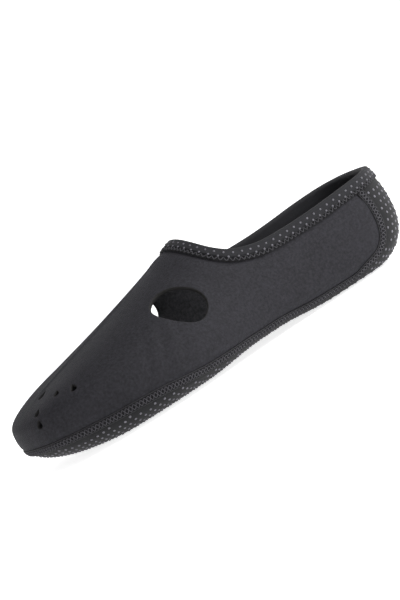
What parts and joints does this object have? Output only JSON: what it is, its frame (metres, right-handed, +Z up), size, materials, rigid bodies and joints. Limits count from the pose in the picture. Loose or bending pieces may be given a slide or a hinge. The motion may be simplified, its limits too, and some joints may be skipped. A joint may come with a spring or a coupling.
{
  "type": "water shoe",
  "caption": "Low-cut neoprene water shoe for a left foot, with oval side cut-outs, toe vents, a bound collar and a dotted sole that runs up the heel.",
  "frame": {"origin": "on the floor, under the middle of the shoe's length and width", "axes": "+X towards the toe, +Y to the wearer's left, which is the outer side of the foot, +Z up"},
  "size_m": [0.2554, 0.0956, 0.0742],
  "materials": {
    "neoprene": "knit-faced neoprene sheet, matt with a soft sheen",
    "dotted_sole": "woven sole cloth with small grip dots in a diagonal grid",
    "foam_insole": "thin cloth-faced foam",
    "dotted_binding": "fold-over edge cloth with a few rows of small grip dots",
    "flat_seam": "raised flat seam of stretch thread"
  },
  "bodies": {
    "root": {"upper": "neoprene", "sole": "dotted_sole", "insole": "foam_insole", "collar_binding": "dotted_binding", "sole_seam": "flat_seam"}
  },
  "joints": []
}
